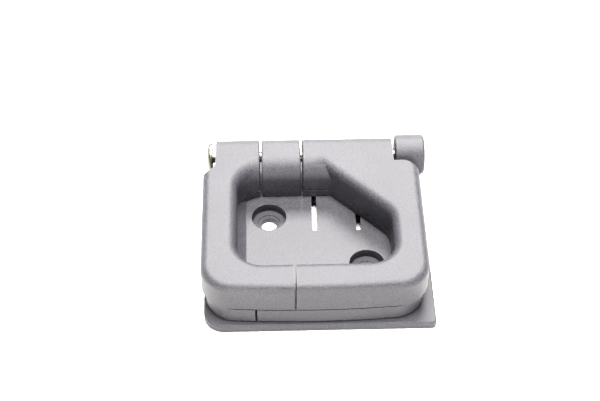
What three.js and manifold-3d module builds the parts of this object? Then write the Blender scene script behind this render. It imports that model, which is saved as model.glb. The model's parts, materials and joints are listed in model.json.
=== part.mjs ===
// Stair gate latch: a moulded base that is screwed to a post or wall, and two C-shaped
// flaps that close into a ring around the gate's bolt. Both flaps turn on one steel pin.
// Millimetres. X runs along the hinge pin, Y from the front edge to the hinge, Z up from
// the mounting face. The model is placed with its origin on the mounting face, midway
// between the two screw holes.
import * as THREE from 'three';
import { mergeVertices } from 'three/addons/utils/BufferGeometryUtils.js';
import Module from 'manifold-3d';

const wasm = await Module();
wasm.setup();

// Clearances
const REST_GAP = 0.3; // between pieces that rest on or face each other
const PIN_CLEARANCE = 0.06; // radial, pin in its bores
const SIDE_CLEARANCE = 0.4; // between the raised floor and the flap walls around it
const SCREW_CLEARANCE = 0.05; // radial, screw in its pilot hole

// Base
const PLATE_WIDTH = 62;
const PLATE_THICKNESS = 2.5;
const PLATE_LEFT_RADIUS = 5.5;
const PLATE_CORNER_RADIUS = 1.2;
const PLATE_EDGE = 0.5; // rounding of the plate's top edge
const FLOOR_TOP = 4.9; // raised floor inside the ring
const SKIN = 2.4; // moulded wall of the raised floor
const UNDERSIDE_RIM = 4; // solid border around the hollow underside
const RIB = 3;
const RIB_X = 36.7; // the rib that runs back, between the two slots

// Hinge
const HINGE_Z = 11.9;
const BARREL_RADIUS = 4.8;
const END_KNUCKLE_RADIUS = 5.7;
const HINGE_BACK = 5.7; // hinge axis to the plate's back edge
const PLATE_DEPTH = 58.6;
const HINGE_Y = PLATE_DEPTH - HINGE_BACK;
const PIN_RADIUS = 1.5;
const PIN_HEAD_RADIUS = 4.3;
const PIN_HEAD_DOME = 1.3;
const PIN_HEAD_RIM = 0.6;
const PIN_HEAD_X = 0.2;
const KNUCKLE_GAP = 0.6;
const CENTRE_KNUCKLE_X = 16.05;
const CENTRE_KNUCKLE_LENGTH = 10.9;
const END_KNUCKLE_X = 54;
const END_KNUCKLE_LENGTH = 8.3;
const END_KNUCKLE_GAP = 0.9;
const LEFT_BARREL_X = 3.1;

// Ring of flaps
const RING_LEFT = -0.4;
const RING_RIGHT = 60;
const RING_FRONT = 0.3; // where the two straight halves of the bowed front edge would meet
const RING_FRONT_BOW = 1.9; // how far that point stands in front of the corners
const RING_FRONT_RADIUS = 300; // at most: it ends before the corners
const RING_CORNER = 8.5;
const RING_WIDTH = 9.5; // plan width of the ring on its front and left side
const RING_RIGHT_WIDTH = 8.7;
const RING_BACK_WIDTH = 9.2; // inner back wall to the hinge axis
const WEB_CHAMFER = 16; // leg of the diagonal wall across the back right corner
const OPENING_CORNER = 7;
const TOP_EDGE = 2.6; // rounding of the top edges
const BACK_EDGE = 5.3; // larger rounding of the hinge bar's inner top edge
const NOTCH_DEPTH = 6.4; // hinge axis to the notch around the end knuckle
const NOTCH_CORNER = 3.5;
const HEAD_POCKET_DEPTH = 10; // hinge axis to the front of the pin head's pocket
const HEAD_POCKET_CORNER = 4;
const SEAM_Z = 7.7; // joint between top and bottom shells
const SHELL_WALL = 1.8;
const TONGUE_FLOOR = 1.5;
const LOWER_SIDE_STEP = 1; // bottom shells stand back from the top shells at the sides
const LOWER_FRONT_STEP = 0.2;
const LIP_SLOPE = 2.4; // left bottom shell's sloping lip over the raised floor
const UPPER_SPLIT_X = 24.5; // where the top shells meet at the front
const LOWER_SPLIT_X = 14.1; // where the bottom shells meet, under the left flap's tongue

// Openings in the raised floor
const SCREW_HOLES = [[17.8, 36.2], [44.4, 18.7]];
const COUNTERBORE_RADIUS = 4.8;
const COUNTERBORE_DEPTH = 2.8;
const SEAT_STEP_RADIUS = 3.1;
const SEAT_STEP_DEPTH = 0.3;
const SCREW_HOLE_RADIUS = 2.25;
const SCREW_BOSS_WALL = 2.2;
const SLOT_WIDTH = 1.4;
const SLOT_FRONT = 30.8;
const SLOT_LENGTH = 15;
const SLOTS_X = [30.6, 42.8];

// Shell screws, driven from below
const SHELL_SCREW_RADIUS = 1.1;
const SHELL_SCREW_HEAD_RADIUS = 1.9;
const SHELL_SCREW_HEAD = 1.3;
const SHELL_SCREW_LENGTH = 7;
const SHELL_SCREW_SEAT = 1.9; // depth of the head below the bottom face
const SHELL_BOSS_RADIUS = 2.7; // around the thread
const SHELL_SEAT_BOSS_RADIUS = 3.3; // around the head's seat
const SCREWS_TO_HINGE = [16, 12.6]; // the left and right arms' back screws, from the hinge axis
const RIGHT_FRONT_SCREW_X = 31;
const RIGHT_MIDDLE_SCREW_Y = 24;
const LEFT_CORNER_SCREW = 4.6; // right of the left arm's middle line

// Retaining washer on the pin's plain end
const WASHER_RADIUS = 3.4;
const WASHER_THICKNESS = 0.5;
const WASHER_RECESS = 1.6;
const WASHER_TEETH = 6;

const SAME_POINT = 1e-6;
const FAR = 100; // reach of the cutting blocks beyond the object
const ARC_SEGMENTS = 7;
const ROUND_SEGMENTS = 32;

// Worked-out places
const FLAP_BOTTOM = PLATE_THICKNESS + REST_GAP;
const LOW_FLOOR_CLEAR = FLOOR_TOP + REST_GAP;
const TOP_Z = HINGE_Z + BARREL_RADIUS;
const UPPER_BOTTOM = SEAM_Z + REST_GAP / 2;
const LOWER_TOP = SEAM_Z - REST_GAP / 2;
const OPENING_LEFT = RING_LEFT + RING_WIDTH;
const OPENING_RIGHT = RING_RIGHT - RING_RIGHT_WIDTH;
const OPENING_FRONT = RING_FRONT + RING_WIDTH + RING_FRONT_BOW / 3;
const OPENING_BACK = HINGE_Y - RING_BACK_WIDTH;
const CENTRE_KNUCKLE_END = CENTRE_KNUCKLE_X + CENTRE_KNUCKLE_LENGTH;
const LEFT_BARREL_END = CENTRE_KNUCKLE_X - KNUCKLE_GAP;
const RIGHT_BARREL_X = CENTRE_KNUCKLE_END + KNUCKLE_GAP;
const RIGHT_BARREL_END = END_KNUCKLE_X - END_KNUCKLE_GAP;
const END_KNUCKLE_END = END_KNUCKLE_X + END_KNUCKLE_LENGTH;
const HEAD_POCKET_Y = HINGE_Y - HEAD_POCKET_DEPTH;
const FLOOR_LEFT = OPENING_LEFT + LIP_SLOPE - SIDE_CLEARANCE * 2;
const FLOOR_RIGHT = OPENING_RIGHT + SIDE_CLEARANCE;
const FLOOR_FRONT = OPENING_FRONT - SIDE_CLEARANCE;
const FLOOR_BACK = PLATE_DEPTH - HINGE_BACK + BARREL_RADIUS;
const BORE_RADIUS = PIN_RADIUS + PIN_CLEARANCE;
const LEFT_ARM_X = RING_LEFT + RING_WIDTH / 2;
const RIGHT_ARM_X = RING_RIGHT - RING_RIGHT_WIDTH / 2;
const FRONT_ARM_Y = OPENING_FRONT - RING_WIDTH / 2;
const LEFT_SCREWS = [
  [LEFT_ARM_X, HINGE_Y - SCREWS_TO_HINGE[0]],
  [LEFT_ARM_X + LEFT_CORNER_SCREW, FRONT_ARM_Y + 1],
];
const RIGHT_SCREWS = [
  [RIGHT_FRONT_SCREW_X, FRONT_ARM_Y],
  [RIGHT_ARM_X, RIGHT_MIDDLE_SCREW_Y],
  [RIGHT_ARM_X, HINGE_Y - SCREWS_TO_HINGE[1]],
];
const ORIGIN = [
  (SCREW_HOLES[0][0] + SCREW_HOLES[1][0]) / 2,
  (SCREW_HOLES[0][1] + SCREW_HOLES[1][1]) / 2,
];

// ---- Solids ----

function toSolid(geometry) {
  const bare = geometry.clone();
  bare.deleteAttribute('normal');
  bare.deleteAttribute('uv');
  const merged = mergeVertices(bare, 1e-4);
  return new wasm.Manifold(new wasm.Mesh({
    numProp: 3,
    vertProperties: new Float32Array(merged.attributes.position.array),
    triVerts: new Uint32Array(merged.index.array),
  }));
}

function toGeometry(solid) {
  const mesh = solid.getMesh();
  const geometry = new THREE.BufferGeometry();
  geometry.setAttribute('position', new THREE.BufferAttribute(new Float32Array(mesh.vertProperties), 3));
  geometry.setIndex(new THREE.BufferAttribute(new Uint32Array(mesh.triVerts), 1));
  return geometry;
}

const union = (solids) => solids.reduce((sum, solid) => sum.add(solid));
const cut = (solid, cutters) => cutters.reduce((rest, cutter) => rest.subtract(cutter), solid);

function block([x0, y0, z0], [x1, y1, z1]) {
  const geometry = new THREE.BoxGeometry(x1 - x0, y1 - y0, z1 - z0);
  geometry.translate((x0 + x1) / 2, (y0 + y1) / 2, (z0 + z1) / 2);
  return toSolid(geometry);
}

function uprightCylinder(x, y, radius, z0, z1) {
  const geometry = new THREE.CylinderGeometry(radius, radius, z1 - z0, ROUND_SEGMENTS);
  geometry.rotateX(Math.PI / 2);
  geometry.translate(x, y, (z0 + z1) / 2);
  return toSolid(geometry);
}

// A cylinder around the hinge axis.
function hingeCylinder(radius, x0, x1) {
  const geometry = new THREE.CylinderGeometry(radius, radius, x1 - x0, ROUND_SEGMENTS);
  geometry.rotateZ(-Math.PI / 2);
  geometry.translate((x0 + x1) / 2, HINGE_Y, HINGE_Z);
  return toSolid(geometry);
}

// Corners are [x, y, radius], counter-clockwise. Insets hold, for the edge that leaves each
// corner, how far it moves inwards. Arcs stay tangent to their moved edges.
function insetEdges(corners, insets) {
  return corners.map(([x, y, radius], i) => {
    const last = (i + corners.length - 1) % corners.length;
    const after = corners[(i + 1) % corners.length];
    const inDirection = new THREE.Vector2(x - corners[last][0], y - corners[last][1]).normalize();
    const outDirection = new THREE.Vector2(after[0] - x, after[1] - y).normalize();
    const turn = Math.sign(inDirection.cross(outDirection));
    const cosine = inDirection.dot(outDirection);
    const spread = 1 - cosine ** 2;
    const inShare = (insets[last] - insets[i] * cosine) / spread;
    const outShare = (insets[i] - insets[last] * cosine) / spread;
    const newRadius = radius === 0 ? 0 : Math.max(radius - turn * (insets[last] + insets[i]) / 2, 0);
    return [
      x - inDirection.y * inShare - outDirection.y * outShare,
      y + inDirection.x * inShare + outDirection.x * outShare,
      newRadius,
    ];
  });
}

const insetAll = (corners, inset) => insetEdges(corners, corners.map(() => inset));

function roundedPath(corners, path) {
  corners.forEach(([x, y, radius], i) => {
    const before = corners[(i + corners.length - 1) % corners.length];
    const after = corners[(i + 1) % corners.length];
    const inDirection = new THREE.Vector2(x - before[0], y - before[1]).normalize();
    const outDirection = new THREE.Vector2(after[0] - x, after[1] - y).normalize();
    const turn = Math.sign(inDirection.cross(outDirection));
    const reach = radius * Math.tan(Math.acos(inDirection.dot(outDirection)) / 2);
    const start = [x - inDirection.x * reach, y - inDirection.y * reach];
    const end = [x + outDirection.x * reach, y + outDirection.y * reach];
    if (i === 0) path.moveTo(...start);
    else path.lineTo(...start);
    if (radius > 0) {
      const centre = [start[0] - inDirection.y * radius * turn, start[1] + inDirection.x * radius * turn];
      const startAngle = Math.atan2(start[1] - centre[1], start[0] - centre[0]);
      const endAngle = Math.atan2(end[1] - centre[1], end[0] - centre[0]);
      path.absarc(centre[0], centre[1], radius, startAngle, endAngle, turn < 0);
    }
  });
  path.closePath();
  return path;
}

// A plan outline raised from z0 to z1. The edge value rounds its top edges.
function raise(corners, z0, z1, { holes = [], edge = 0 } = {}) {
  const shape = roundedPath(corners, new THREE.Shape());
  holes.forEach((hole) => shape.holes.push(roundedPath(hole, new THREE.Path())));
  const geometry = new THREE.ExtrudeGeometry(shape, {
    depth: z1 - z0 - edge,
    curveSegments: ARC_SEGMENTS,
    bevelEnabled: edge > 0,
    bevelThickness: edge,
    bevelSize: edge,
    bevelOffset: -edge,
    bevelSegments: 4,
  });
  geometry.translate(0, 0, z0);
  const solid = toSolid(geometry);
  if (edge === 0) return solid;
  return solid.intersect(block([-FAR, -FAR, z0], [FAR, FAR, z1]));
}

// A side profile in the Y-Z plane, drawn along X from x0 to x1.
function drawAlongHinge(profile, x0, x1) {
  const geometry = new THREE.ExtrudeGeometry(profile, {
    depth: x1 - x0,
    curveSegments: ARC_SEGMENTS * 2,
    bevelEnabled: false,
  });
  const toSide = new THREE.Matrix4().makeBasis(
    new THREE.Vector3(0, 1, 0),
    new THREE.Vector3(0, 0, 1),
    new THREE.Vector3(1, 0, 0),
  );
  geometry.applyMatrix4(toSide);
  geometry.translate(x0, 0, 0);
  return toSolid(geometry);
}

// ---- Plan outlines ----

function rectangle(x0, y0, x1, y1, radius = 0) {
  return [[x0, y0, radius], [x1, y0, radius], [x1, y1, radius], [x0, y1, radius]];
}

// Outside of the ring. Its sides and front can be set back.
function ringOutline(sideStep = 0, frontStep = 0) {
  const left = RING_LEFT + sideStep;
  const right = RING_RIGHT - sideStep;
  const front = RING_FRONT + frontStep;
  const half = (right - left) / 2;
  const longestArc = (half - RING_CORNER) * (half / RING_FRONT_BOW);
  return [
    [left, front + RING_FRONT_BOW, RING_CORNER],
    [left + half, front, Math.min(RING_FRONT_RADIUS, longestArc)],
    [right, front + RING_FRONT_BOW, RING_CORNER],
    [right, PLATE_DEPTH, 0],
    [left, PLATE_DEPTH, 0],
  ];
}

// The ring's share in front of the hinge axis, with the notch around the end knuckle.
function hingeSideSpace(sideStep = 0) {
  const right = RING_RIGHT - sideStep;
  const outline = [
    [-FAR, -FAR, 0],
    [right, -FAR, 0],
    [right, HINGE_Y - NOTCH_DEPTH, NOTCH_CORNER],
    [RIGHT_BARREL_END, HINGE_Y - NOTCH_DEPTH, 0],
    [RIGHT_BARREL_END, HINGE_Y, 0],
    [-FAR, HINGE_Y, 0],
  ];
  return raise(outline, 0, FAR);
}

// The opening, with the diagonal wall across its back right corner.
function openingOutline() {
  return [
    [OPENING_LEFT, OPENING_FRONT, OPENING_CORNER],
    [OPENING_RIGHT, OPENING_FRONT, OPENING_CORNER],
    [OPENING_RIGHT, OPENING_BACK - WEB_CHAMFER, OPENING_CORNER],
    [OPENING_RIGHT - WEB_CHAMFER, OPENING_BACK, 0],
    [OPENING_LEFT, OPENING_BACK, OPENING_CORNER],
  ];
}

// The hinge bar: round behind the axis, flat on top, with a large inner rounding.
function hingeBarProfile(bottom) {
  const profile = new THREE.Shape();
  profile.moveTo(OPENING_BACK, bottom);
  profile.lineTo(HINGE_Y, bottom);
  profile.lineTo(HINGE_Y, HINGE_Z - BARREL_RADIUS);
  profile.absarc(HINGE_Y, HINGE_Z, BARREL_RADIUS, -Math.PI / 2, Math.PI / 2, false);
  profile.lineTo(OPENING_BACK + BACK_EDGE, TOP_Z);
  profile.absarc(OPENING_BACK + BACK_EDGE, TOP_Z - BACK_EDGE, BACK_EDGE, Math.PI / 2, Math.PI, false);
  profile.closePath();
  return profile;
}

function outlinePoints(corners) {
  const points = roundedPath(corners, new THREE.Shape()).getPoints(ARC_SEGMENTS);
  return points.filter((point, i) => point.distanceTo(points.at(i - 1)) > SAME_POINT);
}

// A solid between stacked plan outlines, given as [z, corners] from the lowest up.
function loft(levels) {
  const rings = levels.map(([z, corners]) => outlinePoints(corners).map(({ x, y }) => [x, y, z]));
  const count = rings[0].length;
  const index = [];
  for (let level = 0; level < rings.length - 1; level += 1) {
    for (let i = 0; i < count; i += 1) {
      const low = level * count;
      const next = (i + 1) % count;
      index.push(low + i, low + next, low + count + next);
      index.push(low + i, low + count + next, low + count + i);
    }
  }
  const top = (rings.length - 1) * count;
  const flat = rings.map((ring) => ring.map(([x, y]) => new THREE.Vector2(x, y)));
  THREE.ShapeUtils.triangulateShape(flat[0], []).forEach(([a, b, c]) => index.push(a, c, b));
  THREE.ShapeUtils.triangulateShape(flat.at(-1), []).forEach(([a, b, c]) => (
    index.push(top + a, top + b, top + c)
  ));
  const geometry = new THREE.BufferGeometry();
  geometry.setAttribute('position', new THREE.BufferAttribute(new Float32Array(rings.flat(2)), 3));
  geometry.setIndex(index);
  return toSolid(geometry);
}

// An upright space whose edges widen near the top, so that what is left around it has
// rounded top edges. Each edge has its own rounding.
function widening(corners, roundings) {
  const steps = 6;
  const levels = [[0, corners]];
  for (let i = 0; i <= steps; i += 1) {
    const z = TOP_Z - BACK_EDGE * Math.cos((i / steps) * (Math.PI / 2));
    const insets = roundings.map((rounding) => {
      const rise = Math.min(Math.max(z - (TOP_Z - rounding), 0), rounding);
      return Math.sqrt(rounding ** 2 - rise ** 2) - rounding;
    });
    levels.push([z, insetEdges(corners, insets)]);
  }
  levels.push([TOP_Z + 1, levels.at(-1)[1]]);
  return loft(levels);
}

// What is taken out of the ring. The hinge bar's large rounding and the diagonal wall's
// smaller one meet in a crease.
function openingFunnel() {
  const behind = OPENING_BACK + BACK_EDGE + 1;
  const besideHingeBar = widening(
    [
      [OPENING_LEFT, OPENING_FRONT, OPENING_CORNER],
      [FAR, OPENING_FRONT, 0],
      [FAR, OPENING_BACK, 0],
      [OPENING_LEFT, OPENING_BACK, OPENING_CORNER],
    ],
    [TOP_EDGE, 0, BACK_EDGE, TOP_EDGE],
  );
  const besideWeb = widening(
    [
      [-FAR, OPENING_FRONT, 0],
      [OPENING_RIGHT, OPENING_FRONT, OPENING_CORNER],
      [OPENING_RIGHT, OPENING_BACK - WEB_CHAMFER, OPENING_CORNER],
      [OPENING_RIGHT - WEB_CHAMFER - (behind - OPENING_BACK), behind, 0],
      [-FAR, behind, 0],
    ],
    [TOP_EDGE, TOP_EDGE, TOP_EDGE, 0, 0],
  );
  return besideHingeBar.intersect(besideWeb);
}

// ---- Base ----

function mountingPlate() {
  const outline = [
    [0, 0, PLATE_LEFT_RADIUS],
    [PLATE_WIDTH, 0, PLATE_CORNER_RADIUS],
    [PLATE_WIDTH, PLATE_DEPTH, PLATE_CORNER_RADIUS],
    [0, PLATE_DEPTH, PLATE_CORNER_RADIUS],
  ];
  return raise(outline, 0, PLATE_THICKNESS, { edge: PLATE_EDGE });
}

// Hollow under the raised floor, with a boss around each screw hole and ribs between them.
function undersideHollow() {
  const inset = SKIN - SIDE_CLEARANCE;
  const hollow = raise(
    rectangle(FLOOR_LEFT + inset, FLOOR_FRONT + inset, FLOOR_RIGHT - inset, FLOOR_BACK - UNDERSIDE_RIM, RIB),
    -1,
    FLOOR_TOP - SKIN,
  );
  const bosses = SCREW_HOLES.map(([x, y]) => (
    uprightCylinder(x, y, COUNTERBORE_RADIUS + SCREW_BOSS_WALL, -2, FLOOR_TOP)
  ));
  const ribs = [
    block([-FAR, ORIGIN[1] - RIB / 2, -2], [FAR, ORIGIN[1] + RIB / 2, FLOOR_TOP]),
    block([RIB_X - RIB / 2, -FAR, -2], [RIB_X + RIB / 2, FAR, FLOOR_TOP]),
  ];
  return cut(hollow, [...bosses, ...ribs]);
}

function screwHole([x, y]) {
  const seat = FLOOR_TOP - COUNTERBORE_DEPTH;
  return union([
    uprightCylinder(x, y, SCREW_HOLE_RADIUS, -1, FLOOR_TOP + 1),
    uprightCylinder(x, y, SEAT_STEP_RADIUS, seat - SEAT_STEP_DEPTH, FLOOR_TOP + 1),
    uprightCylinder(x, y, COUNTERBORE_RADIUS, seat, FLOOR_TOP + 1),
  ]);
}

function floorSlot(x) {
  const outline = rectangle(
    x - SLOT_WIDTH / 2,
    SLOT_FRONT,
    x + SLOT_WIDTH / 2,
    SLOT_FRONT + SLOT_LENGTH,
    SLOT_WIDTH * 0.3,
  );
  return raise(outline, -1, FLOOR_TOP + 1);
}

function endKnuckle() {
  const post = block(
    [END_KNUCKLE_X, HINGE_Y - BARREL_RADIUS, PLATE_THICKNESS / 2],
    [END_KNUCKLE_END - LOWER_SIDE_STEP, HINGE_Y + BARREL_RADIUS, HINGE_Z],
  );
  return hingeCylinder(END_KNUCKLE_RADIUS, END_KNUCKLE_X, END_KNUCKLE_END).add(post);
}

function base() {
  const body = union([
    mountingPlate(),
    raise(
      rectangle(FLOOR_LEFT, FLOOR_FRONT, FLOOR_RIGHT, FLOOR_BACK, OPENING_CORNER - TOP_EDGE),
      PLATE_THICKNESS / 2,
      FLOOR_TOP,
    ),
    drawAlongHinge(hingeBarProfile(FLOOR_TOP - 1), CENTRE_KNUCKLE_X, CENTRE_KNUCKLE_END),
    endKnuckle(),
  ]);
  return cut(body, [
    undersideHollow(),
    ...SCREW_HOLES.map(screwHole),
    ...SLOTS_X.map(floorSlot),
    hingeCylinder(BORE_RADIUS, 0, END_KNUCKLE_END + 1),
    hingeCylinder(WASHER_RADIUS + REST_GAP, END_KNUCKLE_END - WASHER_RECESS, END_KNUCKLE_END + 1),
  ]);
}

// ---- Flaps ----

function upperRing() {
  const ring = raise(ringOutline(), UPPER_BOTTOM, TOP_Z, { edge: TOP_EDGE });
  return cut(ring, [openingFunnel()]).intersect(hingeSideSpace());
}

// Inside of the top shells, open at the seam.
function upperHollow() {
  const outer = insetAll(ringOutline(), SHELL_WALL);
  const inner = insetAll(openingOutline(), -SHELL_WALL);
  const hollow = raise(outer, UPPER_BOTTOM - 1, TOP_Z - SHELL_WALL, { holes: [inner], edge: 1 });
  return hollow.intersect(block([-FAR, -FAR, 0], [FAR, OPENING_BACK, FAR]));
}

function bossWithPilot([x, y]) {
  return {
    boss: uprightCylinder(x, y, SHELL_BOSS_RADIUS, UPPER_BOTTOM, TOP_Z - SHELL_WALL / 2),
    pilot: uprightCylinder(
      x,
      y,
      SHELL_SCREW_RADIUS + SCREW_CLEARANCE,
      UPPER_BOTTOM - 1,
      FLAP_BOTTOM + SHELL_SCREW_SEAT + SHELL_SCREW_LENGTH + 1,
    ),
  };
}

// One flap's share of the ring, hollowed, with its barrel and its screw bosses.
function topShell({ side, hollowSide, barrel, screws }) {
  const share = upperRing().intersect(side);
  const hollow = upperHollow().intersect(hollowSide);
  const bosses = screws.map(bossWithPilot);
  const shell = union([
    cut(share, [hollow]),
    ...bosses.map(({ boss }) => boss.intersect(share)),
    hingeCylinder(BARREL_RADIUS, ...barrel),
  ]);
  return cut(shell, [
    ...bosses.map(({ pilot }) => pilot),
    hingeCylinder(BORE_RADIUS, barrel[0] - 1, barrel[1] + 1),
  ]);
}

// The pocket for the pin's head, open to the left, the back and above.
function headPocket() {
  const outline = [
    [-FAR, HEAD_POCKET_Y, 0],
    [LEFT_BARREL_X, HEAD_POCKET_Y, HEAD_POCKET_CORNER],
    [LEFT_BARREL_X, FAR, 0],
    [-FAR, FAR, 0],
  ];
  return raise(outline, -1, FAR);
}

function leftTopShell() {
  const tongueEnd = UPPER_SPLIT_X - REST_GAP / 2;
  const side = union([
    block([-FAR, -FAR, 0], [tongueEnd, (OPENING_FRONT + OPENING_BACK) / 2, FAR]),
    block([-FAR, OPENING_FRONT, 0], [LEFT_BARREL_END, FAR, FAR]),
  ]);
  const hollowEnd = HEAD_POCKET_Y - SHELL_WALL;
  const hollowSide = union([
    block([-FAR, -FAR, 0], [LOWER_SPLIT_X - SHELL_WALL, hollowEnd, FAR]),
    block([-FAR, -FAR, UPPER_BOTTOM + TONGUE_FLOOR], [tongueEnd - SHELL_WALL, hollowEnd, FAR]),
  ]);
  const shell = topShell({
    side,
    hollowSide,
    barrel: [LEFT_BARREL_X, LEFT_BARREL_END],
    screws: LEFT_SCREWS,
  });
  return cut(shell, [headPocket()]);
}

function rightTopShell() {
  const tongueStart = UPPER_SPLIT_X + REST_GAP / 2;
  const side = union([
    block([tongueStart, -FAR, 0], [FAR, (OPENING_FRONT + OPENING_BACK) / 2, FAR]),
    block([RIGHT_BARREL_X, OPENING_FRONT, 0], [FAR, FAR, FAR]),
  ]);
  const hollowSide = block([tongueStart + SHELL_WALL, -FAR, 0], [FAR, FAR, FAR]);
  return topShell({
    side,
    hollowSide,
    barrel: [RIGHT_BARREL_X, RIGHT_BARREL_END],
    screws: RIGHT_SCREWS,
  });
}

// Space that the raised floor takes out of the bottom shells, up to the back edge.
function floorSpace() {
  return block(
    [FLOOR_LEFT - SIDE_CLEARANCE, FLOOR_FRONT - SIDE_CLEARANCE, -1],
    [FLOOR_RIGHT + SIDE_CLEARANCE, FAR, LOW_FLOOR_CLEAR],
  );
}

// The lip that slopes from the left inner wall down to the raised floor.
function slopingLip() {
  const profile = new THREE.Shape();
  profile.moveTo(OPENING_LEFT - SHELL_WALL, LOW_FLOOR_CLEAR);
  profile.lineTo(OPENING_LEFT + LIP_SLOPE, LOW_FLOOR_CLEAR);
  profile.lineTo(OPENING_LEFT, LOWER_TOP);
  profile.lineTo(OPENING_LEFT - SHELL_WALL, LOWER_TOP);
  profile.closePath();
  const geometry = new THREE.ExtrudeGeometry(profile, {
    depth: OPENING_BACK - OPENING_FRONT,
    bevelEnabled: false,
  });
  geometry.rotateX(Math.PI / 2);
  geometry.translate(0, OPENING_BACK, 0);
  return toSolid(geometry);
}

function lowerRing() {
  const outline = ringOutline(LOWER_SIDE_STEP, LOWER_FRONT_STEP);
  const ring = raise(outline, FLAP_BOTTOM, LOWER_TOP, { holes: [openingOutline()] });
  return cut(ring.intersect(hingeSideSpace(LOWER_SIDE_STEP)), [floorSpace()]);
}

// Inside of the bottom shells, beside and in front of the raised floor.
function lowerHollow() {
  const outer = insetAll(ringOutline(LOWER_SIDE_STEP, LOWER_FRONT_STEP), SHELL_WALL);
  const hollow = raise(outer, FLAP_BOTTOM + SHELL_WALL, LOWER_TOP + 1);
  const wall = SIDE_CLEARANCE + SHELL_WALL;
  const floorSide = block(
    [FLOOR_LEFT - wall, FLOOR_FRONT - wall, -1],
    [FLOOR_RIGHT + wall, FAR, FAR],
  );
  return cut(hollow, [floorSide, block([-FAR, OPENING_BACK, 0], [FAR, FAR, FAR])]);
}

function bossWithSeat([x, y]) {
  return {
    boss: uprightCylinder(x, y, SHELL_SEAT_BOSS_RADIUS, FLAP_BOTTOM, LOWER_TOP),
    hole: union([
      uprightCylinder(x, y, SHELL_SCREW_RADIUS + REST_GAP, 0, FAR),
      uprightCylinder(x, y, SHELL_SCREW_HEAD_RADIUS + REST_GAP, 0, FLAP_BOTTOM + SHELL_SCREW_SEAT),
    ]),
  };
}

function bottomShell({ side, hollowSide, extra, screws, barrel }) {
  const share = union([lowerRing(), ...extra]).intersect(side);
  const bosses = screws.map(bossWithSeat);
  const shell = union([
    cut(share, [lowerHollow().intersect(hollowSide)]),
    ...bosses.map(({ boss }) => boss.intersect(share)),
  ]);
  return cut(shell, [
    ...bosses.map(({ hole }) => hole),
    hingeCylinder(BARREL_RADIUS + REST_GAP, barrel[0] - 1, barrel[1] + 1),
  ]);
}

function leftBottomShell() {
  const end = LOWER_SPLIT_X - REST_GAP / 2;
  const middleY = (OPENING_FRONT + OPENING_BACK) / 2;
  const side = union([
    block([-FAR, -FAR, 0], [end, middleY, FAR]),
    block([-FAR, middleY - 1, 0], [LEFT_BARREL_END, FAR, FAR]),
  ]);
  const shell = bottomShell({
    side,
    hollowSide: block([-FAR, -FAR, 0], [end - SHELL_WALL, HEAD_POCKET_Y - SHELL_WALL, FAR]),
    extra: [slopingLip()],
    screws: LEFT_SCREWS,
    barrel: [LEFT_BARREL_X, LEFT_BARREL_END],
  });
  return cut(shell, [headPocket()]);
}

function rightBottomShell() {
  const start = LOWER_SPLIT_X + REST_GAP / 2;
  const middleY = (OPENING_FRONT + OPENING_BACK) / 2;
  const side = union([
    block([start, -FAR, 0], [FAR, middleY, FAR]),
    block([RIGHT_BARREL_X, middleY - 1, 0], [FAR, FAR, FAR]),
  ]);
  const hollowSide = union([
    block([start + SHELL_WALL, -FAR, 0], [FAR, FAR, LOWER_TOP - TONGUE_FLOOR]),
    block([UPPER_SPLIT_X + SHELL_WALL, -FAR, 0], [FAR, FAR, FAR]),
  ]);
  return bottomShell({
    side,
    hollowSide,
    extra: [],
    screws: RIGHT_SCREWS,
    barrel: [RIGHT_BARREL_X, RIGHT_BARREL_END],
  });
}

// ---- Metal pieces ----

// A turned piece around the hinge axis. The profile holds [radius, x] pairs.
function turnedOnHinge(profile) {
  const points = profile.map(([radius, x]) => new THREE.Vector2(radius, x));
  const geometry = new THREE.LatheGeometry(points, ROUND_SEGMENTS);
  geometry.rotateZ(-Math.PI / 2);
  geometry.translate(0, HINGE_Y, HINGE_Z);
  return toSolid(geometry);
}

function hingePin() {
  const rimX = PIN_HEAD_X + PIN_HEAD_DOME;
  const dome = [];
  const steps = 6;
  for (let i = 0; i <= steps; i += 1) {
    const angle = (i / steps) * (Math.PI / 2);
    dome.push([PIN_HEAD_RADIUS * Math.sin(angle), rimX - PIN_HEAD_DOME * Math.cos(angle)]);
  }
  const end = END_KNUCKLE_END - REST_GAP;
  return turnedOnHinge([
    ...dome,
    [PIN_HEAD_RADIUS, rimX + PIN_HEAD_RIM],
    [PIN_RADIUS, rimX + PIN_HEAD_RIM],
    [PIN_RADIUS, end - PIN_RADIUS / 4],
    [PIN_RADIUS * 0.75, end],
    [0, end],
  ]);
}

// A dished spring-steel push-on washer with teeth that bite the pin.
function retainingWasher() {
  const x = END_KNUCKLE_END - WASHER_RECESS + REST_GAP;
  const dish = WASHER_THICKNESS * 0.8;
  const inner = PIN_RADIUS + SCREW_CLEARANCE;
  const disc = turnedOnHinge([
    [inner, x + dish],
    [WASHER_RADIUS * 0.7, x],
    [WASHER_RADIUS, x],
    [WASHER_RADIUS, x + WASHER_THICKNESS],
    [WASHER_RADIUS * 0.7, x + WASHER_THICKNESS],
    [inner, x + WASHER_THICKNESS + dish],
    [inner, x + dish],
  ]);
  const slots = Array.from({ length: WASHER_TEETH }, (_, i) => {
    const geometry = new THREE.BoxGeometry(WASHER_THICKNESS * 6, WASHER_RADIUS * 0.7, WASHER_THICKNESS);
    geometry.translate(0, WASHER_RADIUS * 0.35, 0);
    geometry.rotateX((i / WASHER_TEETH) * 2 * Math.PI);
    geometry.translate(x, HINGE_Y, HINGE_Z);
    return toSolid(geometry);
  });
  return cut(disc, slots);
}

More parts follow.
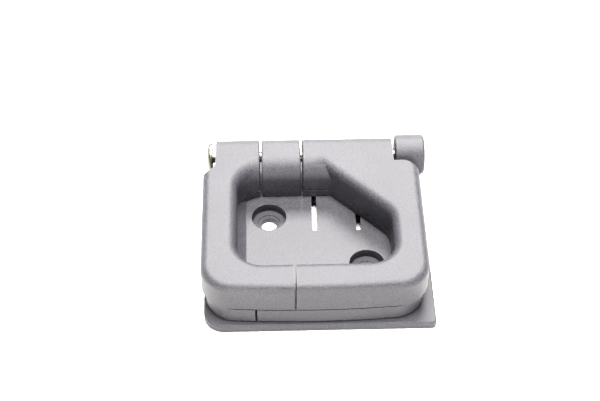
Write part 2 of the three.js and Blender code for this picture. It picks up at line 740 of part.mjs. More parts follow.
function shellScrew([x, y]) {
  const headBottom = FLAP_BOTTOM + SHELL_SCREW_SEAT - SHELL_SCREW_HEAD - REST_GAP;
  const headTop = headBottom + SHELL_SCREW_HEAD;
  const profile = [
    [0, headBottom + SHELL_SCREW_HEAD / 2],
    [SHELL_SCREW_HEAD_RADIUS / 3, headBottom],
    [SHELL_SCREW_HEAD_RADIUS * 0.8, headBottom],
    [SHELL_SCREW_HEAD_RADIUS, headBottom + SHELL_SCREW_HEAD / 3],
    [SHELL_SCREW_HEAD_RADIUS, headTop],
    [SHELL_SCREW_RADIUS, headTop],
    [SHELL_SCREW_RADIUS, headTop + SHELL_SCREW_LENGTH - SHELL_SCREW_RADIUS],
    [0, headTop + SHELL_SCREW_LENGTH],
  ];
  const points = profile.map(([radius, z]) => new THREE.Vector2(radius, z));
  const geometry = new THREE.LatheGeometry(points, ROUND_SEGMENTS / 2);
  geometry.rotateX(Math.PI / 2);
  geometry.translate(x, y, 0);
  return toSolid(geometry);
}

// ---- Assembly ----

const MOULDED_PLASTIC = { color: 0x3a3a40, roughness: 0.6, metalness: 0 };
const PLATED_STEEL = { color: 0xb9b7ac, roughness: 0.3, metalness: 1 };
const SPRING_STEEL = { color: 0x8d8f92, roughness: 0.35, metalness: 1 };

function piece(name, solid, look) {
  const mesh = new THREE.Mesh(toGeometry(solid), new THREE.MeshStandardMaterial(look));
  mesh.name = name;
  return mesh;
}

const latch = new THREE.Group();
latch.add(
  piece('base_plate', base(), MOULDED_PLASTIC),
  piece('hinge_pin', hingePin(), PLATED_STEEL),
  piece('pin_retaining_washer', retainingWasher(), SPRING_STEEL),
  piece('left_flap_top_shell', leftTopShell(), MOULDED_PLASTIC),
  piece('left_flap_bottom_shell', leftBottomShell(), MOULDED_PLASTIC),
  ...LEFT_SCREWS.map((place, i) => piece(`left_flap_screw_${i + 1}`, shellScrew(place), PLATED_STEEL)),
  piece('right_flap_top_shell', rightTopShell(), MOULDED_PLASTIC),
  piece('right_flap_bottom_shell', rightBottomShell(), MOULDED_PLASTIC),
  ...RIGHT_SCREWS.map((place, i) => piece(`right_flap_screw_${i + 1}`, shellScrew(place), PLATED_STEEL)),
);
latch.position.set(-ORIGIN[0], -ORIGIN[1], 0);

export default latch;
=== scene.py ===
"""Stair gate latch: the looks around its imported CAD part.

A moulded base carries one steel hinge pin. Two C-shaped flaps, each of a top and a bottom
shell, turn on the pin and close into a ring over the raised floor. Shapes are worked out
in millimetres from the base's left front corner on the mounting face: X along the hinge
pin, Y from the front edge to the hinge, Z up. They become metres in the frame when a
piece is placed.
"""

import json
import logging
from dataclasses import dataclass, field
from enum import Enum

import bpy
import numpy as np
from mathutils import Euler, Matrix, Vector


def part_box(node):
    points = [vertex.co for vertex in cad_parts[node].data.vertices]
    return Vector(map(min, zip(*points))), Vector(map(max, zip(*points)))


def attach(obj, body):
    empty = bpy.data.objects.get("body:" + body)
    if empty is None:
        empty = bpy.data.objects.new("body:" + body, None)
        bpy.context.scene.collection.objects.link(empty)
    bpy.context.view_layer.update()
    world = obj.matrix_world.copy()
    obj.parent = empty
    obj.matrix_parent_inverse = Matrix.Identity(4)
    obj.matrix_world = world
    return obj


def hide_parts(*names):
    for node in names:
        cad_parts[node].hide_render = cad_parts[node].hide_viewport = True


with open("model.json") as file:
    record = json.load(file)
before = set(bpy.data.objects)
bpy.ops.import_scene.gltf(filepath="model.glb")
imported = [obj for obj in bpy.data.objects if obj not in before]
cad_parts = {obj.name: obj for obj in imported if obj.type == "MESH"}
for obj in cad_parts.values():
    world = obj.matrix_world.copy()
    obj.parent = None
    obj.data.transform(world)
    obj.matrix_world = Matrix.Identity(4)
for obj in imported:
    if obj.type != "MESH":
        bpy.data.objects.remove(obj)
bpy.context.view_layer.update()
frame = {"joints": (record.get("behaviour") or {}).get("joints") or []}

LOG = logging.getLogger("stair_gate_latch")
Array = np.ndarray

MM = 0.001
FAR = 100.0  # reach of cutting shapes beyond the object
ARC_STEPS = 20  # steps along each rounded plan corner
EDGE_STEPS = 10  # steps over a rounded edge
FINE_EDGE_STEPS = 3  # steps over an edge rounded by less than half a millimetre
ROUND_SIDES = 96
SHARP_ANGLE = np.radians(32)  # faces that meet at more than this keep a crisp edge
# Paler edges, rubbed wear and painted highlight: where the paling starts and where it is full.
EDGE_WEAR_AND_HIGHLIGHT_STARTS, EDGE_WEAR_AND_HIGHLIGHT_FULL = 0.99, 0.8  # likeness of rounded and flat normals
BASE_CORNER = np.array(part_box("base_plate")[0])
HINGE = (np.array(frame["joints"][0]["pos_m"]) - BASE_CORNER) / MM


class Joining(Enum):
    """How two closed shapes are combined."""

    JOIN = "UNION"
    CUT = "DIFFERENCE"
    SHARE = "INTERSECT"


class Slot(Enum):
    """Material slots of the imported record."""

    PLASTIC = "moulded_plastic"
    PLATED = "plated_steel"
    SPRING = "spring_steel"


# ---- Surfaces worked out as whole arrays ----


@dataclass(frozen=True)
class Surface:
    """A closed surface: points, quads between them, and end caps of many sides."""

    points: Array
    quads: Array
    caps: tuple[Array, ...] = ()

    def faces(self) -> list[list[int]]:
        """Every face as a list of point numbers."""
        return [*self.quads.tolist(), *(cap.tolist() for cap in self.caps)]


def skin(rings: Array, closed: bool = False) -> Surface:
    """Joins a stack of rings into a closed surface.

    Point i of each ring is joined to point i of the next ring, and to point i + 1 of its
    own, so each pair of neighbours makes one quad.

    Args:
        rings: levels x points x 3, each ring counter-clockwise as seen from the last one.
        closed: whether the last ring meets the first, as round a washer.

    Returns:
        The surface, with a cap on the first and last ring unless it is closed.
    """
    levels, count = rings.shape[:2]
    used = levels if closed else levels - 1
    here = np.arange(count)
    beside = np.roll(here, -1)
    low = np.arange(used)[:, None] * count
    high = (np.arange(1, used + 1) % levels)[:, None] * count
    quads = np.stack([low + here, low + beside, high + beside, high + here], axis=-1)
    caps = () if closed else (here[::-1], here + (levels - 1) * count)
    return Surface(rings.reshape(-1, 3), quads.reshape(-1, 4), caps)


def unit(vectors: Array) -> Array:
    """Each row divided by its length."""
    return vectors / np.linalg.norm(vectors, axis=-1, keepdims=True)


def rounded_outlines(corners: Array, insets: Array, steps: int = ARC_STEPS) -> Array:
    """Plan outlines with rounded corners, one for each row of insets.

    Moving an edge inwards by its inset moves each of its corners by a share of both
    edges' normals: the corner plus a times one normal plus b times the other, where a
    plus b times their cosine is one inset, and b plus a times it is the other. The arc
    stays tangent to both moved edges: its radius loses the mean of their insets.

    Args:
        corners: one row of x, y, radius for each corner, counter-clockwise.
        insets: levels x corners, how far the edge that leaves each corner moves in.
        steps: steps along each arc.

    Returns:
        levels x points x 2.
    """
    corners = np.asarray(corners, float)
    spots, radii = corners[:, :2], corners[:, 2]
    arriving = unit(spots - np.roll(spots, 1, axis=0))
    leaving = unit(np.roll(spots, -1, axis=0) - spots)
    cosine = np.sum(arriving * leaving, axis=1)
    turn = np.sign(arriving[:, 0] * leaving[:, 1] - arriving[:, 1] * leaving[:, 0])
    left_in = np.stack([-arriving[:, 1], arriving[:, 0]], axis=1)
    left_out = np.stack([-leaving[:, 1], leaving[:, 0]], axis=1)
    before = np.roll(insets, 1, axis=1)
    spread = 1 - cosine**2
    share_in = (before - insets * cosine) / spread
    share_out = (insets - before * cosine) / spread
    moved = spots + share_in[..., None] * left_in + share_out[..., None] * left_out
    shrunk = np.clip(radii - turn * (before + insets) / 2, 0, None)
    radius = np.where(radii > 0, shrunk, 0)
    swing = turn * np.arccos(np.clip(cosine, -1, 1))
    reach = radius * np.tan(np.abs(swing) / 2)
    centre = moved - arriving * reach[..., None] + left_in * (radius * turn)[..., None]
    counts = np.where(radii > 0, steps, 0)
    which = np.repeat(np.arange(len(corners)), counts + 1)
    along = np.concatenate([np.linspace(0, 1, count + 1) for count in counts])
    angle = swing[which] * along
    spoke = (-left_in * turn[:, None])[which]
    cos, sin = np.cos(angle), np.sin(angle)
    turned = np.stack(
        [spoke[:, 0] * cos - spoke[:, 1] * sin, spoke[:, 0] * sin + spoke[:, 1] * cos],
        axis=1,
    )
    return centre[:, which] + radius[:, which, None] * turned


def edge_levels(start: float, end: float, low: float, high: float) -> tuple[Array, Array]:
    """Levels from start to end whose insets draw a quarter circle at each end.

    At angle t from 0 to 90 degrees the first edge stands in by low times 1 minus sin t,
    at start plus low times 1 minus cos t. The last edge stands in by high times 1 minus
    cos t, at end minus high plus high times sin t.

    Args:
        start: the first level.
        end: the last level.
        low: rounding at the first level.
        high: rounding at the last level.

    Returns:
        The levels and their insets.
    """
    parts = []
    if low > 0:
        t = np.linspace(0, np.pi / 2, (FINE_EDGE_STEPS if low < 0.5 else EDGE_STEPS) + 1)
        parts.append((start + low * (1 - np.cos(t)), low * (1 - np.sin(t))))
    else:
        parts.append((np.array([start]), np.zeros(1)))
    if high > 0:
        t = np.linspace(0, np.pi / 2, (FINE_EDGE_STEPS if high < 0.5 else EDGE_STEPS) + 1)
        parts.append((end - high + high * np.sin(t), high * (1 - np.cos(t))))
    else:
        parts.append((np.array([end]), np.zeros(1)))
    return np.concatenate([p[0] for p in parts]), np.concatenate([p[1] for p in parts])


def upright(
    corners: Array,
    bottom: float,
    top: float,
    low: float = 0.0,
    high: float = 0.0,
    rounded: Array | None = None,
) -> Surface:
    """A plan outline raised from bottom to top, with rounded edges.

    Args:
        corners: x, y, radius rows, counter-clockwise.
        bottom: lowest level.
        top: highest level.
        low: rounding of the bottom edge.
        high: rounding of the top edge.
        rounded: the share of the rounding that each edge gets, or None for all of it.

    Returns:
        The closed surface.
    """
    corners = np.asarray(corners, float)
    levels, insets = edge_levels(bottom, top, low, high)
    shares = np.ones(len(corners)) if rounded is None else np.asarray(rounded, float)
    plan = rounded_outlines(corners, insets[:, None] * shares)
    height = np.broadcast_to(levels[:, None, None], (*plan.shape[:2], 1))
    return skin(np.concatenate([plan, height], axis=2))


def along_hinge(
    corners: Array, start: float, end: float, low: float = 0.0, high: float = 0.0
) -> Surface:
    """A side profile, given as y, z, radius rows, drawn along X from start to end."""
    corners = np.asarray(corners, float)
    levels, insets = edge_levels(start, end, low, high)
    side = rounded_outlines(corners, insets[:, None] * np.ones(len(corners)))
    place = np.broadcast_to(levels[:, None, None], (*side.shape[:2], 1))
    return skin(np.concatenate([place, side], axis=2))


def turned_on_hinge(profile: Array, closed: bool = False) -> Surface:
    """A turned shape: each radius, x pair of the profile is swept round the hinge axis."""
    profile = np.asarray(profile, float)
    angle = np.linspace(0, 2 * np.pi, ROUND_SIDES, endpoint=False)
    radius, place = profile[:, :1], profile[:, 1:]
    return skin(
        np.stack(
            [
                place + 0 * angle,
                HINGE[1] + radius * np.cos(angle),
                HINGE[2] + radius * np.sin(angle),
            ],
            axis=2,
        ),
        closed,
    )


def turned_upright(profile: Array, x: float, y: float) -> Surface:
    """A turned shape: each radius, z pair of the profile is swept round an upright axis."""
    profile = np.asarray(profile, float)
    angle = np.linspace(0, 2 * np.pi, ROUND_SIDES, endpoint=False)
    radius, height = profile[:, :1], profile[:, 1:]
    return skin(
        np.stack(
            [x + radius * np.cos(angle), y + radius * np.sin(angle), height + 0 * angle],
            axis=2,
        )
    )


def block(low: tuple[float, ...], high: tuple[float, ...]) -> Surface:
    """A square-edged block between two corners, used only to cut."""
    return upright(rectangle(low[0], low[1], high[0], high[1]), low[2], high[2])


def rectangle(x0: float, y0: float, x1: float, y1: float, radius: float = 0.0) -> Array:
    """The four corners of a plan rectangle, counter-clockwise."""
    return np.array([[x0, y0, radius], [x1, y0, radius], [x1, y1, radius], [x0, y1, radius]])


# ---- Shapes in the scene ----


class Shape:
    """A closed mesh that is cut and joined in millimetres, and then placed as a piece."""

    def __init__(self, surface: Surface) -> None:
        """Puts the surface into a mesh object."""
        mesh = bpy.data.meshes.new("shape")
        mesh.from_pydata(surface.points, [], surface.faces())
        self.body = bpy.data.objects.new("shape", mesh)
        bpy.context.scene.collection.objects.link(self.body)

    def combine(self, how: Joining, *others: "Shape") -> "Shape":
        """Joins, cuts or intersects this shape with others, which are used up."""
        for other in others:
            modifier = self.body.modifiers.new("combine", "BOOLEAN")
            modifier.operation = how.value
            modifier.solver = "MANIFOLD"
            modifier.object = other.body
            graph = bpy.context.evaluated_depsgraph_get()
            made = bpy.data.meshes.new_from_object(self.body.evaluated_get(graph))
            self.body.modifiers.clear()
            old, self.body.data = self.body.data, made
            bpy.data.meshes.remove(old)
            other.discard()
        return self

    def join(self, *surfaces: Surface) -> "Shape":
        """Adds surfaces to this shape."""
        return self.combine(Joining.JOIN, *map(Shape, surfaces))

    def cut(self, *surfaces: Surface) -> "Shape":
        """Takes surfaces out of this shape."""
        return self.combine(Joining.CUT, *map(Shape, surfaces))

    def discard(self) -> None:
        """Removes the shape from the scene."""
        mesh = self.body.data
        bpy.data.objects.remove(self.body)
        bpy.data.meshes.remove(mesh)

    def place(self, piece: "Piece", finish: bpy.types.Material) -> bpy.types.Object:
        """Turns the shape into a finished piece in the frame.

        Args:
            piece: its name, body, slot and the CAD nodes that it stands for.
            finish: its material.

        Returns:
            The piece's object.
        """
        body = self.body
        body.name = piece.name
        body.data.name = piece.name
        body.data.transform(Matrix.Translation(Vector(BASE_CORNER)) @ Matrix.Scale(MM, 4))
        body.data.validate()
        body.data.shade_smooth()
        body.data.set_sharp_from_angle(angle=SHARP_ANGLE)
        body.data.materials.clear()
        body.data.materials.append(finish)
        flat = body.modifiers.new("flat faces stay flat", "WEIGHTED_NORMAL")
        flat.keep_sharp = True
        flat.weight = 100
        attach(body, piece.rides_on)
        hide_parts(*piece.stands_for)
        LOG.info("%s: %d faces, on %s", piece.name, len(body.data.polygons), piece.rides_on)
        return body


@dataclass(frozen=True)
class Piece:
    """What a finished piece is called, what it moves with and what it stands for."""

    name: str
    rides_on: str
    slot: Slot
    stands_for: tuple[str, ...]


# ---- Finishes ----


def linear(colour: str) -> tuple[float, float, float, float]:
    """An sRGB hex colour as linear red, green, blue and full alpha."""
    parts = np.array([int(colour[i : i + 2], 16) for i in (1, 3, 5)]) / 255
    low, high = parts / 12.92, ((parts + 0.055) / 1.055) ** 2.4
    return (*np.where(parts <= 0.04045, low, high).tolist(), 1.0)


def add_node(tree: bpy.types.NodeTree, kind: str, links: dict, **settings) -> bpy.types.Node:
    """Adds a shader node.

    Args:
        tree: the material's node tree.
        kind: the node type's identifier.
        links: input name or number to a value, or to the output socket that feeds it.
        settings: attributes of the node.

    Returns:
        The new node.
    """
    node = tree.nodes.new(kind)
    for name, value in settings.items():
        setattr(node, name, value)
    for key, value in links.items():
        if isinstance(value, bpy.types.NodeSocket):
            tree.links.new(value, node.inputs[key])
        else:
            node.inputs[key].default_value = value
    return node


def new_material(name: str) -> tuple[bpy.types.Material, bpy.types.NodeTree, bpy.types.NodeSocket]:
    """A material with an empty node tree, and the Object coordinates for its patterns."""
    material = bpy.data.materials.new(name)
    material.use_nodes = True
    material.node_tree.nodes.clear()
    place = add_node(material.node_tree, "ShaderNodeTexCoord", {})
    return material, material.node_tree, place.outputs["Object"]


def finish_with(tree: bpy.types.NodeTree, shader: bpy.types.Node) -> None:
    """Links the shader to the material's output."""
    add_node(tree, "ShaderNodeOutputMaterial", {"Surface": shader.outputs[0]})


def edge_wear_and_painted_highlight(
    tree: bpy.types.NodeTree, width_mm: float, breaks: bpy.types.NodeSocket
) -> bpy.types.NodeSocket:
    """How much paler the finish is made: 0 on the faces, up to a half on outer and inner edges.
    The paler edge stands for rubbed wear, and is partly a painted highlight where rounded edges
    would catch light.

    A normal rounded over the width leans away from the face's own normal near an edge. The paling
    follows that lean, and the grain breaks it up.

    Args:
        tree: the material's node tree.
        width_mm: how far the paler edge, rubbed wear and painted highlight, reaches from an edge.
        breaks: the pattern that breaks the paler edge up.

    Returns:
        The socket with the amount of paler edge: rubbed wear and painted highlight.
    """
    rounded = add_node(tree, "ShaderNodeBevel", {"Radius": width_mm * MM}, samples=6)
    flat = add_node(tree, "ShaderNodeNewGeometry", {})
    likeness = add_node(
        tree,
        "ShaderNodeVectorMath",
        {0: rounded.outputs[0], 1: flat.outputs["Normal"]},
        operation="DOT_PRODUCT",
    )
    lean = add_node(
        tree, "ShaderNodeMapRange", {0: likeness.outputs["Value"], 1: 0.99, 2: 0.8, 3: 0.0, 4: 1.0}
    )
    broken = add_node(tree, "ShaderNodeMapRange", {0: breaks, 1: 0.4, 2: 0.6, 3: 0.1, 4: 0.5})
    wear_and_painted_highlight = add_node(
        tree,
        "ShaderNodeMath",
        {0: lean.outputs[0], 1: broken.outputs[0]},
        operation="MULTIPLY",
    )
    return wear_and_painted_highlight.outputs[0]


@dataclass(frozen=True)
class SparkErodedPlastic:
    """Charcoal polypropylene out of a spark-eroded mould.

    The mould's pitted skin gives the plastic a fine grain and a dull, wide highlight. The resin is
    a cool near-black with faint flow clouds. Its edges are painted paler, as rubbed wear and
    partly as a painted highlight on outer and inner edges.
    """

    deep: str = "#2a292f"
    pale: str = "#333238"
    # Paler edge colour: rubbed wear, and partly a painted highlight along outer and inner edges.
    rubbed_and_highlight_colour: str = "#77767c"
    roughness: float = 0.6
    uneven: float = 0.06  # how far the grain moves the roughness
    refraction: float = 1.49
    speckle: float = 0.5  # how far the grain moves the colour
    grain_mm: float = 0.42  # a real pit is about 0.1 mm, drawn coarser so that it shows
    grain_depth_mm: float = 0.09
    cloud_mm: float = 14.0
    # How far the paler edge, rubbed wear and painted highlight, reaches from an edge.
    wear_and_highlight_edge_mm: float = 0.3

    def material(self) -> bpy.types.Material:
        """Builds the finish."""
        material, tree, place = new_material("spark_eroded_charcoal_polypropylene")
        dull = self.roughness
        clouds = add_node(
            tree,
            "ShaderNodeTexNoise",
            {"Vector": place, "Scale": 1 / (self.cloud_mm * MM), "Detail": 3.0},
        )
        pits = add_node(
            tree,
            "ShaderNodeTexNoise",
            {
                "Vector": place,
                "Scale": 1 / (self.grain_mm * MM),
                "Detail": 2.0,
                "Roughness": 0.7,
            },
        )
        tint = add_node(
            tree,
            "ShaderNodeMix",
            {0: clouds.outputs[0], 6: linear(self.deep), 7: linear(self.pale)},
            data_type="RGBA",
        )
        speckle = add_node(
            tree,
            "ShaderNodeMapRange",
            {0: pits.outputs[0], 1: 0.35, 2: 0.65, 3: -self.speckle, 4: self.speckle},
        )
        lighter = add_node(
            tree,
            "ShaderNodeMath",
            {0: speckle.outputs[0], 1: 1.0},
            operation="ADD",
        )
        grained = add_node(
            tree,
            "ShaderNodeVectorMath",
            {0: tint.outputs[2], "Scale": lighter.outputs[0]},
            operation="SCALE",
        )
        # Edges painted paler: rubbed wear, and partly a painted highlight where rounded edges
        # would catch light.
        edge_wear_and_highlight = edge_wear_and_painted_highlight(tree, self.wear_and_highlight_edge_mm, pits.outputs[0])
        wear_and_highlight_colour = add_node(
            tree,
            "ShaderNodeMix",
            {0: edge_wear_and_highlight, 6: grained.outputs[0], 7: linear(self.rubbed_and_highlight_colour)},
            data_type="RGBA",
        )
        bump = add_node(
            tree,
            "ShaderNodeBump",
            {"Height": pits.outputs[0], "Strength": 1.0, "Distance": self.grain_depth_mm * MM},
        )
        roughness = add_node(
            tree,
            "ShaderNodeMapRange",
            {0: pits.outputs[0], 1: 0.3, 2: 0.7, 3: dull - self.uneven, 4: dull + self.uneven},
        )
        shader = add_node(
            tree,
            "ShaderNodeBsdfPrincipled",
            {
                "Base Color": wear_and_highlight_colour.outputs[2],
                "Roughness": roughness.outputs[0],
                "IOR": self.refraction,
                "Normal": bump.outputs[0],
            },
        )
        finish_with(tree, shader)
        return material


@dataclass(frozen=True)
class ZincPlatedSteel:
    """Turned steel with bright zinc plating, passivated to a faint yellow.

    The plating is smooth and a little cloudy, over fine marks from the turning.
    """

    plating: str = "#77766f"
    clouded: str = "#57554b"
    roughness: float = 0.38
    cloud_mm: float = 2.0
    mark_mm: float = 0.12
    mark_depth_mm: float = 0.004

    def material(self, name: str = "zinc_plated_turned_steel") -> bpy.types.Material:
        """Builds the finish."""
        material, tree, place = new_material(name)
        dull = self.roughness
        clouds = add_node(
            tree,
            "ShaderNodeTexNoise",
            {"Vector": place, "Scale": 1 / (self.cloud_mm * MM), "Detail": 4.0},
        )
        marks = add_node(
            tree,
            "ShaderNodeTexNoise",
            {"Vector": place, "Scale": 1 / (self.mark_mm * MM), "Detail": 1.0},
        )
        tint = add_node(
            tree,
            "ShaderNodeMix",
            {0: clouds.outputs[0], 6: linear(self.plating), 7: linear(self.clouded)},
            data_type="RGBA",
        )
        roughness = add_node(
            tree,
            "ShaderNodeMapRange",
            {0: clouds.outputs[0], 1: 0.3, 2: 0.7, 3: dull - 0.08, 4: dull + 0.1},
        )
        bump = add_node(
            tree,
            "ShaderNodeBump",
            {"Height": marks.outputs[0], "Strength": 0.5, "Distance": self.mark_depth_mm * MM},
        )
        shader = add_node(
            tree,
            "ShaderNodeBsdfPrincipled",
            {
                "Base Color": tint.outputs[2],
                "Metallic": 1.0,
                "Roughness": roughness.outputs[0],
                "Normal": bump.outputs[0],
            },
        )
        finish_with(tree, shader)
        return material


# ---- The latch ----


@dataclass(frozen=True)
class Layout:
    """Sizes that several pieces share."""

    plate_depth: float = 58.6
    floor_top: float = 4.9
    barrel_radius: float = 4.8
    end_knuckle_radius: float = 5.7
    bore_radius: float = 1.56
    centre_knuckle: tuple[float, float] = (16.05, 26.95)
    end_knuckle: tuple[float, float] = (54.0, 62.3)
    left_barrel: tuple[float, float] = (3.1, 15.45)
    right_barrel: tuple[float, float] = (27.55, 53.1)
    ring_left: float = -0.4
    ring_right: float = 60.0
    ring_front: float = 0.3
    ring_bow: float = 1.9
    front_radius: float = 300.0
    ring_corner: float = 8.5
    opening_left: float = 9.1
    opening_right: float = 51.3
    opening_front: float = 10.433
    opening_back: float = 43.7
    opening_corner: float = 7.0
    web_chamfer: float = 16.0
    outer_edge: float = 2.1
    top_edge: float = 2.6
    back_edge: float = 5.3
    broken_edge: float = 0.12
    notch_depth: float = 6.4
    notch_corner: float = 3.5
    seam: float = 7.7
    seam_gap: float = 0.3
    flap_bottom: float = 2.8
    floor_clear: float = 5.2
    side_step: float = 1.0
    split_gap: float = 0.6
    upper_split: float = 24.5
    lower_split: float = 14.1
    lip_slope: float = 2.4

    @property
    def top(self) -> float:
        """Height of the flaps' flat top."""
        return float(HINGE[2]) + self.barrel_radius

    @property
    def middle_y(self) -> float:
        """Half way between the front and the back of the opening."""
        return (self.opening_front + self.opening_back) / 2

    def bar_profile(self, bottom: float) -> Array:
        """The hinge bar seen along the pin: round behind, flat on top, rounded inside."""
        y, z, radius = float(HINGE[1]), float(HINGE[2]), self.barrel_radius
        return np.array(
            [
                [self.opening_back, bottom, 0],
                [y, bottom, 0],
                [y, z - radius, 0],
                [y + radius, z - radius, radius],
                [y + radius, z + radius, radius],
                [self.opening_back, z + radius, self.back_edge],
            ]
        )

    def barrel(self, ends: tuple[float, float], radius: float | None = None, **edges) -> Surface:
        """A round barrel on the hinge axis between two X places."""
        y, z, r = float(HINGE[1]), float(HINGE[2]), radius or self.barrel_radius
        corners = [[y - r, z - r, r], [y + r, z - r, r], [y + r, z + r, r], [y - r, z + r, r]]
        return along_hinge(np.array(corners), *ends, **edges)

    def ring_outline(self, side_step: float = 0.0) -> Array:
        """Outside of the ring in front of the hinge axis, with the end knuckle's notch."""
        left, right = self.ring_left + side_step, self.ring_right - side_step
        front, back = self.ring_front, float(HINGE[1])
        notch = back - self.notch_depth
        return np.array(
            [
                [left, front + self.ring_bow, self.ring_corner],
                [(left + right) / 2, front, self.front_radius],
                [right, front + self.ring_bow, self.ring_corner],
                [right, notch, self.notch_corner],
                [self.right_barrel[1], notch, 0],
                [self.right_barrel[1], back, 0],
                [left, back, 0],
            ]
        )


@dataclass(frozen=True)
class Ring:
    """The ring that the two flaps make, before it is divided between them."""

    layout: Layout = field(default_factory=Layout)

    def widening(self, corners: Array, roundings: Array) -> Surface:
        """The space inside the ring, which widens over the rounded top edge.

        Where an edge has rounding r, the wall stands back by r minus the square root of
        r squared minus the rise above top minus r squared: a quarter circle.

        Args:
            corners: x, y, radius rows, counter-clockwise.
            roundings: the rounding of the edge that leaves each corner.

        Returns:
            The closed surface, from under the ring to above it.
        """
        lay = self.layout
        arcs = [
            lay.top - edge + edge * np.sin(np.linspace(0, np.pi / 2, 2 * EDGE_STEPS + 1))
            for edge in {lay.top_edge, lay.back_edge}
        ]
        levels = np.unique(np.round(np.concatenate([[-1.0], *arcs]), 5))
        roundings = np.asarray(roundings, float)
        rise = np.clip(levels[:, None] - (lay.top - roundings), 0, roundings)
        insets = np.sqrt(roundings**2 - rise**2) - roundings
        levels = np.append(levels, lay.top + 1)
        insets = np.vstack([insets, insets[-1]])
        plan = rounded_outlines(corners, insets)
        height = np.broadcast_to(levels[:, None, None], (*plan.shape[:2], 1))
        return skin(np.concatenate([plan, height], axis=2))

    def opening(self) -> Shape:
        """What is taken out of the ring.

        The hinge bar's large rounding and the diagonal web's smaller one meet in a
        crease, because the opening is what the two spaces share.
        """
        lay = self.layout
        left, right = lay.opening_left, lay.opening_right
        front, back, corner = lay.opening_front, lay.opening_back, lay.opening_corner
        behind = back + lay.back_edge + 1
        beside_bar = [[left, front, corner], [FAR, front, 0], [FAR, back, 0], [left, back, corner]]
        beside_web = [
            [-FAR, front, 0],
            [right, front, corner],
            [right, back - lay.web_chamfer, corner],
            [right - lay.web_chamfer - (behind - back), behind, 0],
            [-FAR, behind, 0],
        ]
        top, bar = lay.top_edge, lay.back_edge
        shape = Shape(self.widening(np.array(beside_bar), [top, 0, bar, top]))
        web = Shape(self.widening(np.array(beside_web), [top, top, top, 0, 0]))
        return shape.combine(Joining.SHARE, web)

    def upper(self) -> Shape:
        """The ring of the top shells."""
        lay = self.layout
        bottom = lay.seam + lay.seam_gap / 2
        outside = upright(
            lay.ring_outline(),
            bottom,
            lay.top,
            lay.broken_edge,
            lay.outer_edge,
            rounded=[1, 1, 1, 0.12, 0, 0, 1],
        )
        return Shape(outside).combine(Joining.CUT, self.opening())

    def lower(self) -> Shape:
        """The ring of the bottom shells, without the space of the raised floor."""
        lay = self.layout
        top = lay.seam - lay.seam_gap / 2
        outside = upright(
            lay.ring_outline(lay.side_step),
            lay.flap_bottom,
            top,
            lay.broken_edge,
            lay.broken_edge,
            rounded=[1, 1, 1, 1, 0, 0, 1],
        )
        left, right = lay.opening_left, lay.opening_right
        front, back, corner = lay.opening_front, lay.opening_back, lay.opening_corner
        inside = np.array(
            [
                [left, front, corner],
                [right, front, corner],
                [right, back - lay.web_chamfer, corner],
                [right - lay.web_chamfer, back, 0],
                [left, back, corner],
            ]
        )
        floor_space = block((left + 1.2, front - 0.8, -1), (right + 0.8, FAR, lay.floor_clear))
        return Shape(outside).cut(upright(inside, -1, top + 1), floor_space)


